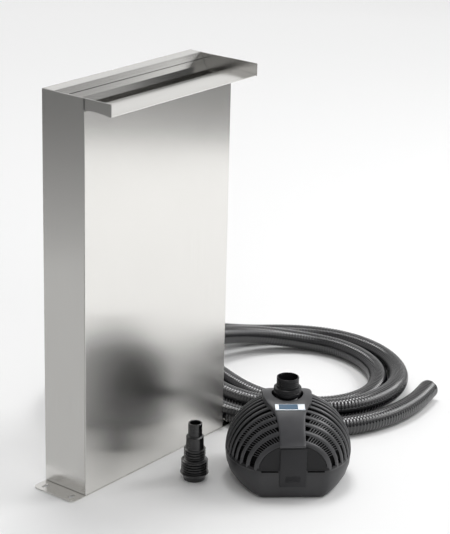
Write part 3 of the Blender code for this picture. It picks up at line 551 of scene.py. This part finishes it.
def make_rim(looks):
    """The band round the cage's foot, and the flat front and back panels."""
    work = bmesh.new()
    sides = 120
    top = CAGE_FOOT + RIM_BAND
    rings = []
    wall = ((0, CAGE_FOOT), (0.0002, top), (RIM_WALL, top), (RIM_WALL, CAGE_FOOT), (0, CAGE_FOOT))
    for inset, height in wall:
        radius = PUMP_RADIUS - inset
        face = PUMP_FACE - inset
        ring = []
        for side in range(sides):
            angle = 2 * math.pi * side / sides
            y = max(-face, min(face, radius * math.sin(angle)))
            ring.append((radius * math.cos(angle), y, height))
        rings.append(ring)
    loft(work, rings)
    arch_steps = 48
    for direction in (-1, 1):
        rings = []
        for inset in (0.0, 0.0022):
            y = direction * (PUMP_FACE - inset)
            ring = []
            for step in range(arch_steps + 1):
                angle = math.pi * step / arch_steps
                point = dome_point(direction * PUMP_FACE, angle, 0.0012)
                ring.append((point.x, y - direction * 0.0003, point.z))
            rings.append(ring)
        loft(work, rings, capped=True)
    # Painted shade: the rim band and panels take the darker recess look
    add_piece("strainer_rim", work, looks["recess_shade"], "cage", place=PUMP)


def make_teeth(looks):
    """The short slanted bars that cross the slots nearest the front."""
    start = math.radians(24)
    end = math.radians(74)
    work = bmesh.new()
    for slot in range(RIB_COUNT - 1):
        y = (slot - (RIB_COUNT - 2) / 2) * RIB_PITCH
        if y > TEETH_REAR:
            continue
        spacing = TOOTH_SPACING / cage_half_width(y)
        count = int((end - start) / spacing)
        for side in (0, 1):
            for tooth in range(count):
                angle = start + tooth * spacing
                add_tooth(work, y, math.pi - angle if side else angle, 1 if side else -1)
    add_piece("strainer_teeth", work, looks["ribs"], "cage", place=PUMP)


def add_tooth(work, y, angle, lean):
    """One bar across a slot, set a little below the ribs' faces."""
    half_slot = (RIB_PITCH - RIB_WIDTH) / 2 + 0.0003
    face, back = 0.0012, 0.0024
    half_bar = 0.00055 / cage_half_width(y)
    slant = lean * 0.0020 / cage_half_width(y)
    rings = []
    for direction in (-1, 1):
        place = y + direction * half_slot
        turn = angle + direction * slant
        rings.append([
            dome_point(place, turn - half_bar, face), dome_point(place, turn + half_bar, face),
            dome_point(place, turn + half_bar, back), dome_point(place, turn - half_bar, back),
        ])
    loft(work, rings, capped=True)


def shell_outline(height, inset=0.0):
    """The lower shell's outline at one height: round sides between flat front and back faces."""
    sides = 144
    blend = 0.0015
    levels = (0.0017, 0.0035, 0.008, 0.018, 0.030, RIM_HEIGHT)
    half_x = np.interp(height, levels, (0.0705, 0.0745, 0.0805, 0.0883, 0.0926, PUMP_RADIUS)) - inset
    half_y = np.interp(height, levels, (0.100, 0.0995, 0.099, 0.097, 0.095, PUMP_RADIUS)) - inset
    face = np.interp(height, levels[:3], (0.0765, 0.0778, PUMP_FACE)) - inset
    outline = []
    for side in range(sides):
        angle = 2 * math.pi * (side + 0.5) / sides
        wall = half_y * math.sin(angle)
        # The flat faces meet the round sides in a small radius
        y = math.copysign(face - blend * math.log1p(math.exp((face - abs(wall)) / blend)), wall)
        outline.append((half_x * math.cos(angle), y, height))
    return outline


def make_shell(looks):
    """The lower shell with its rounded foot and a lip under the cage."""
    heights = [0.0017, 0.0024, 0.0035, 0.0055, 0.008, 0.012, 0.018, 0.024, 0.030, 0.036, 0.0415]
    rings = [shell_outline(height) for height in heights]
    rings.append(shell_outline(0.0423, inset=0.0003))
    rings.append(shell_outline(0.0428, inset=0.0002))
    rings.append(shell_outline(0.0445))
    rings.append(shell_outline(RIM_HEIGHT, inset=0.0005))
    rings.append(shell_outline(RIM_HEIGHT, inset=RIM_WALL))
    for height in (0.030, 0.018, 0.0055):
        rings.append(shell_outline(height, inset=SHELL_WALL))
    work = bmesh.new()
    loft(work, rings, capped=True)
    add_piece(
        "lower_shell", work, looks["shell"], "pump", ["pump_lower_shell"], PUMP, 40,
    )


def make_front_details(looks):
    """Near-black blocks of painted shade in the slits beside the latch, and the fine grip lines pressed
    into the latch.
    """
    slit_centre = 0.034
    slit_half = 0.0125
    work = bmesh.new()
    for side in (-1, 1):
        low = (side * slit_centre - slit_half, -PUMP_FACE - 0.0003, 0.0424)
        high = (side * slit_centre + slit_half, -PUMP_FACE + 0.0010, 0.0446)
        block(work, low, high)
    # Painted shade: near-black blocks stand in for the shade inside the slits
    add_piece("front_slits", work, looks["painted_shade"], "pump", place=PUMP)
    work = bmesh.new()
    front = -PUMP_FACE - 0.0023
    block(work, (-LATCH_HALF_WIDTH, front, LATCH_LOW), (LATCH_HALF_WIDTH, front + 0.0020, LATCH_TOP))
    grip_half = 0.0110
    grip_spacing = 0.0026
    for line in range(4):
        z = 0.0275 + line * grip_spacing
        block(work, (-grip_half, front - 0.0006, z), (grip_half, front + 0.0004, z + 0.0011))
    # Painted shade: the latch takes the darker tongue look of the shaded half-disc region
    add_piece("latch_tongue", work, looks["tongue"], "latch", ["front_latch"], PUMP)


def strap_half_width(y):
    """Wide round the outlet with rounded rear corners, and drawn in towards the front face."""
    places = (-0.0815, -0.066, -0.052, -0.042, -0.033, -0.022, -0.008, 0.010, 0.026, 0.034, 0.038)
    widths = (0.0187, 0.0190, 0.0205, 0.0230, 0.0270, 0.0330, 0.0362, 0.0368, 0.0355, 0.0315, 0.0265)
    return np.interp(y, (*places, STRAP_REAR), (*widths, 0.021))


def strap_centre(y):
    """Follows the outlet, which sits a little to one side, and comes back towards the front face."""
    return np.interp(y, (-PUMP_FACE, -0.037, -0.010), (-0.0015, -0.0032, CORE_OFFSET))


def strap_top(y):
    inside = min(abs(y), PUMP_FACE)
    level = CAGE_FOOT + cage_rise(inside) + STRAP_THICKNESS
    return level - max(0, abs(y) - PUMP_FACE) * 0.9


def strap_bottom(x, y):
    if y < -PUMP_FACE:
        return LATCH_TOP + 0.0018
    across = min(abs(x) / cage_half_width(y), 1)
    return CAGE_FOOT + cage_rise(y) * math.sqrt(1 - across ** 2) + 0.0003


def make_strap(looks):
    """The carrying strap: a smooth band over the dome, with a round opening for the outlet."""
    front = np.linspace(STRAP_FRONT, -0.036, 26)
    stations = np.concatenate([front, np.linspace(-0.034, STRAP_REAR, 44)])
    columns = np.linspace(-1, 1, 33)
    rings = []
    for y in stations:
        half = strap_half_width(y)
        upper = []
        lower = []
        for column in columns:
            x = strap_centre(y) + column * half
            edge = 0.0010 * abs(column) ** 12
            upper.append((x, y, strap_top(y) - 0.0006 * column ** 2 - edge))
            lower.append((x, y, strap_bottom(x, y)))
        rings.append(upper + lower[::-1])
    work = bmesh.new()
    loft(work, rings, capped=True)
    strap = add_piece(
        "strap", work, looks["strap"], "cage", ["carrying_strap"], PUMP, 50,
    )
    cutter_work = bmesh.new()
    low, high = 0.10, 0.15
    bar = [(0.001, low), (OUTLET_OPENING, low), (OUTLET_OPENING, high), (0.001, high)]
    turned(cutter_work, bar, (CORE_OFFSET, 0, 0))
    bmesh.ops.holes_fill(cutter_work, edges=cutter_work.edges)
    bmesh.ops.recalc_face_normals(cutter_work, faces=cutter_work.faces)
    data = bpy.data.meshes.new("strap_cutter")
    cutter_work.to_mesh(data)
    cutter_work.free()
    data.transform(PUMP)
    cutter = bpy.data.objects.new("strap_cutter", data)
    bpy.context.scene.collection.objects.link(cutter)
    opening = strap.modifiers.new("opening", "BOOLEAN")
    opening.object = cutter
    apply_modifiers(strap)
    bpy.data.objects.remove(cutter)


def apply_modifiers(piece):
    """Keeps a piece's evaluated mesh and drops its modifiers."""
    bpy.context.view_layer.update()
    evaluated = piece.evaluated_get(bpy.context.evaluated_depsgraph_get())
    data = bpy.data.meshes.new_from_object(evaluated)
    piece.modifiers.clear()
    piece.data = data
    data.polygons.foreach_set("use_smooth", [True] * len(data.polygons))
    data.set_sharp_from_angle(angle=math.radians(35))


def make_badge(looks):
    """A plain plate that follows the strap: a blue middle between two pale ends."""
    ease = 0.0002
    steps = 6
    for name, low_x, high_x, look, lift in (
        ("badge_middle", -0.0165, 0.0115, "badge_blue", 0.0014),
        ("badge_left", -0.0215, -0.0165, "badge_pale", 0.0013),
        ("badge_right", 0.0115, 0.0215, "badge_pale", 0.0013),
        ("badge_frame", -0.0219, 0.0219, "badge_pale", 0.0010),
    ):
        border = 0.0008 if name != "badge_frame" else 0.0
        rings = []
        for step in range(steps + 1):
            y = BADGE_FRONT + border + (BADGE_DEPTH - 2 * border) * step / steps
            top = strap_top(y)
            centre = strap_centre(y)
            left = centre + low_x
            right = centre + high_x
            rings.append([
                (left, y, top + ease), (left, y, top + lift - ease), (left + ease, y, top + lift),
                (right - ease, y, top + lift), (right, y, top + lift - ease), (right, y, top + ease),
            ])
        work = bmesh.new()
        loft(work, rings, capped=True)
        replaced = ["strap_badge"] if name == "badge_frame" else []
        add_piece(name, work, looks[look], "cage", replaced, PUMP)


def make_nozzle(looks):
    """The outlet's ball and ringed neck, and the union ring with a groove round it."""
    centre = (CORE_OFFSET, 0, BALL_HEIGHT)
    top = NOZZLE_TOP - BALL_HEIGHT
    rim = 0.0012
    groove = NECK_RADIUS - 0.0008
    outside = [(NECK_RADIUS - rim, top)] + arc((NECK_RADIUS - rim, top - rim), rim, 90, 0, 4)
    for level in (top - 0.0050, top - 0.0082, top - 0.0114):
        outside += [
            (NECK_RADIUS, level + 0.0009), (groove, level + 0.0006),
            (groove, level - 0.0003), (NECK_RADIUS, level - 0.0008),
        ]
    start = math.degrees(math.acos(NECK_RADIUS / BALL_RADIUS))
    outside += arc((0, 0), BALL_RADIUS, start, -48, 22)
    low = -0.0178
    bore = [(0.0125, low), (NECK_BORE, low + 0.004), (NECK_BORE, top - 0.0010)]
    bore.append((NECK_BORE + 0.0004, top - 0.0002))
    work = bmesh.new()
    turned(work, outside + bore, centre)
    add_piece(
        "ball_nozzle", work, looks["dark"], "outlet", ["outlet_nozzle"], PUMP, 28,
    )
    work = bmesh.new()
    inner = NECK_RADIUS + 0.0003
    ring = [(inner, 0.0330), (0.0183, 0.0330), (0.0190, 0.0326), (0.0203, 0.0318), (0.0205, 0.0312)]
    ring += [(0.0205, 0.0276), (0.0200, 0.0272), (0.0200, 0.0262), (0.0205, 0.0258), (0.0205, 0.0214)]
    ring += [(0.0202, 0.0210), (inner, 0.0210)]
    turned(work, ring, centre)
    add_piece("union_ring", work, looks["dark"], "collar", ["union_collar"], PUMP, 28)


# ---------------------------------------------------------------- carried CAD nodes


def dress(names, material, bevel=0.0):
    """Gives CAD nodes a finished material, welded corners and, where asked, eased edges."""
    for name in names:
        node = NODES[name]
        node.data.materials.clear()
        node.data.materials.append(material)
        weld = node.modifiers.new("weld", "WELD")
        weld.merge_threshold = 0.00001
        if bevel:
            edge = node.modifiers.new("edge", "BEVEL")
            edge.width = bevel
            edge.segments = 2
            edge.limit_method = "ANGLE"
            edge.angle_limit = math.radians(50)
            edge.use_clamp_overlap = True


def dress_nodes(looks):
    dress(["front_panel", "rear_casing"], looks["steel_upright"], 0.0005)
    dress(["top_cover_baffle", "spout_lip", "overflow_tank"], looks["steel_cross"])
    dress(["left_cheek", "right_cheek"], looks["steel_edge"])
    dress(["base_plate"], looks["steel_cross"], 0.0003)
    dress(["tank_socket", "tank_socket_nut", "riser_pipe", "inlet_elbow"], looks["dark"])
    dress(["inlet_socket", "inlet_locknut"], looks["dark"])
    dress(["inlet_gasket", "motor_seal", "cable_gland"], looks["rubber"])
    dress([f"pump_foot_{number}" for number in range(1, 5)], looks["rubber"])
    dress(["volute_housing", "suction_cover", "motor_housing", "motor_saddle"], looks["dark"])
    dress([f"cover_screw_{number}" for number in range(1, 5)], looks["screw_steel"])
    dress(["motor_shaft"], looks["screw_steel"])
    dress(["front_bearing", "rear_bearing"], looks["ceramic"])
    dress(["rotor_magnet"], looks["sleeve"])
    dress(["impeller"], looks["impeller"])


def make_shade_lines(looks):
    """Thin near-black strips of painted shade: in each cheek's joint, and along the cover's front slope.
    """
    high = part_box("left_cheek")[1]
    work = bmesh.new()
    for side in (-1, 1):
        outer = side * (abs(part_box("left_cheek")[0].x) + 0.0001)
        inner = outer - side * 0.0010
        low_corner = (min(inner, outer), high.y - 0.0009, high.z - 0.0165)
        high_corner = (max(inner, outer), high.y + 0.0008, high.z - 0.0003)
        block(work, low_corner, high_corner)
    slope = Matrix.Translation((0, 0.0137, 0.5909)) @ Matrix.Rotation(math.radians(64.8), 4, "X")
    half_line = 0.1575
    block(work, (-half_line, -0.0004, -0.0002), (half_line, 0.0004, 0.0003), slope)
    # Painted shade: the strips stand in for the shadow in the joints and along the crease of the slope
    add_piece("sealant_lines", work, looks["painted_shade"], "root")


# ---------------------------------------------------------------- stage


def make_stage():
    """A pale floor that reaches well past the view, and soft studio light."""
    work = bmesh.new()
    bmesh.ops.create_circle(work, cap_ends=True, segments=96, radius=FLOOR_RADIUS)
    data = bpy.data.meshes.new("floor")
    work.to_mesh(data)
    work.free()
    floor = bpy.data.objects.new("floor", data)
    floor.location = (0, 0, -0.0002)
    data.materials.append(glowing_floor_look())
    bpy.context.scene.collection.objects.link(floor)
    make_sky()
    key = add_light("key", (1.8, -1.35, 1.9), (0.15, -0.15, 0.0), 1.0, 27)
    keep_off_steel(key)
    fill = add_light("fill", (-1.3, -1.6, 1.8), (0.0, -0.2, 0.0), 1.6, 11)
    fill.visible_glossy = False
    keep_off_steel(fill)
    add_light("overhead", (0.7, 0.6, 3.6), (0.2, 0.0, 0.0), 1.2, 55)
    add_card("side_card", (-0.95, 0.63, 0.20), (0, 0, 0.20), 2.2, 0.40, 0.48, 0.08)
    add_card("pump_card", (0.36, -1.21, 1.23), (0.09, -0.22, 0.1), 0.9, 0.8, 3.6, 3.6)
    add_card("side_floor", (-1.15, 0.45, 0.001), (-1.15, 0.45, 1), 1.9, 1.9, 0.56, 0.56)
    add_card("front_card", (1.32, -1.10, 0.16), (0, -0.04, 0.16), 2.4, 0.30, 0.46, 0.10)
    add_card("tray_card", (0.44, -0.28, 0.88), (0, -0.01, 0.58), 0.9, 0.24, 0.40, 0.18)
    add_card("tray_shade", (0.49, -0.20, 0.83), (0.13, -0.01, 0.59), 0.11, 0.22, 0.0, 0.0)
    add_card("hose_card", (0.75, -1.00, 1.60), (0.3, 0.15, 0.0), 1.2, 0.5, 6.0, 6.0, "spiral_hose")


def glowing_floor_look():
    """A pale matt floor that glows, more the farther it lies from the centre: painted light where the
    lamps fall off.
    """
    made = Nodes("glowing_floor_look", (0.84, 0.84, 0.84), 0.6)
    length = made.tree.nodes.new("ShaderNodeVectorMath")
    length.operation = "LENGTH"
    made.tree.links.new(made.place.outputs["Object"], length.inputs[0])
    # Painted light: emission strength rises with distance from the centre
    made.tree.links.new(
        made.spread(length.outputs["Value"], 0.0, 0.22, 0.7, 3.2), made.shader.inputs["Emission Strength"],
    )
    made.shader.inputs["Emission Color"].default_value = (1, 1, 1, 1)
    return made.material


def make_sky():
    """An even studio, dimmer to the camera's left and dark behind the camera."""
    world = bpy.data.worlds.new("studio")
    world.use_nodes = True
    tree = world.node_tree
    place = tree.nodes.new("ShaderNodeTexCoord")
    parts = tree.nodes.new("ShaderNodeSeparateXYZ")
    ramp = tree.nodes.new("ShaderNodeValToRGB")
    tree.links.new(place.outputs["Generated"], parts.inputs["Vector"])
    tree.links.new(parts.outputs["Z"], ramp.inputs["Fac"])
    levels = [(0.0, 0.60), (0.16, 0.66), (0.26, 1.0), (0.44, 1.0), (0.56, 0.80), (0.85, 0.45)]
    elements = ramp.color_ramp.elements
    while len(elements) < len(levels):
        elements.new(0.5)
    for element, (position, level) in zip(elements, levels):
        element.position = position
        element.color = (level, level, level, 1)
    sideways = sky_share(tree, place, TO_CAMERA_RIGHT, -1, 1, 0.65, 1.2)
    behind = sky_share(tree, place, TO_CAMERA, 0.10, 0.9, 1.0, 0.25)
    product = tree.nodes.new("ShaderNodeMath")
    product.operation = "MULTIPLY"
    tree.links.new(sideways, product.inputs[0])
    tree.links.new(behind, product.inputs[1])
    background = tree.nodes["Background"]
    tree.links.new(ramp.outputs["Color"], background.inputs["Color"])
    tree.links.new(product.outputs["Value"], background.inputs["Strength"])
    bpy.context.scene.world = world
    bpy.context.scene.view_settings.view_transform = "Standard"


def sky_share(tree, place, direction, start, end, low, high):
    """How much of the sky's light is left, by how far a direction leans one way."""
    lean = tree.nodes.new("ShaderNodeVectorMath")
    lean.operation = "DOT_PRODUCT"
    lean.inputs[1].default_value = direction
    tree.links.new(place.outputs["Generated"], lean.inputs[0])
    share = tree.nodes.new("ShaderNodeMapRange")
    share.inputs["From Min"].default_value = start
    share.inputs["From Max"].default_value = end
    share.inputs["To Min"].default_value = low
    share.inputs["To Max"].default_value = high
    tree.links.new(lean.outputs["Value"], share.inputs["Value"])
    return share.outputs["Result"]


def aim(thing, place, target):
    thing.location = place
    direction = Vector(target) - Vector(place)
    thing.rotation_euler = direction.to_track_quat("-Z", "Y").to_euler()


def add_light(name, place, target, size, power):
    data = bpy.data.lights.new(name, "AREA")
    data.size = size
    data.energy = power
    light = bpy.data.objects.new(name, data)
    aim(light, place, target)
    bpy.context.scene.collection.objects.link(light)
    return light


def keep_off_steel(light):
    """Stops a light from glaring in the column's sheets."""
    spared = bpy.data.collections.new("spared_by_" + light.name)
    for name in STEEL_NODES:
        spared.objects.link(NODES[name])
    for entry in spared.collection_objects:
        entry.light_linking.link_state = "EXCLUDE"
    light.light_linking.receiver_collection = spared


def add_card(name, place, target, width, height, low_level, high_level, only=None):
    """A card that only reflections see, shaded up its height; it can be kept for one piece."""
    work = bmesh.new()
    shape = Matrix.Diagonal((width / 2, height / 2, 1, 1))
    bmesh.ops.create_grid(work, x_segments=1, y_segments=1, size=1, matrix=shape)
    data = bpy.data.meshes.new(name)
    work.to_mesh(data)
    work.free()
    made = Nodes(name + "_look", (0, 0, 0), 1.0)
    made.shader.inputs["Specular IOR Level"].default_value = 0
    made.shader.inputs["Emission Color"].default_value = (1, 1, 1, 1)
    parts = made.tree.nodes.new("ShaderNodeSeparateXYZ")
    made.tree.links.new(made.place.outputs["Object"], parts.inputs["Vector"])
    level = made.spread(parts.outputs["Y"], low_level, high_level, -height / 2, height / 2)
    made.tree.links.new(level, made.shader.inputs["Emission Strength"])
    data.materials.append(made.material)
    card = bpy.data.objects.new(name, data)
    aim(card, place, target)
    card.visible_camera = False
    card.visible_diffuse = False
    card.visible_shadow = False
    bpy.context.scene.collection.objects.link(card)
    if only:
        seen_by = bpy.data.collections.new("seen_by_" + name)
        seen_by.objects.link(bpy.data.objects[only])
        card.light_linking.receiver_collection = seen_by


# ---------------------------------------------------------------- build


def build():
    make_camera()
    looks = make_materials()
    make_hose(looks)
    make_adapter(looks)
    make_ribs(looks)
    make_shell(looks)
    make_front_details(looks)
    make_strap(looks)
    make_badge(looks)
    make_nozzle(looks)
    dress_nodes(looks)
    make_shade_lines(looks)
    make_stage()


build()
bpy.context.view_layer.update()
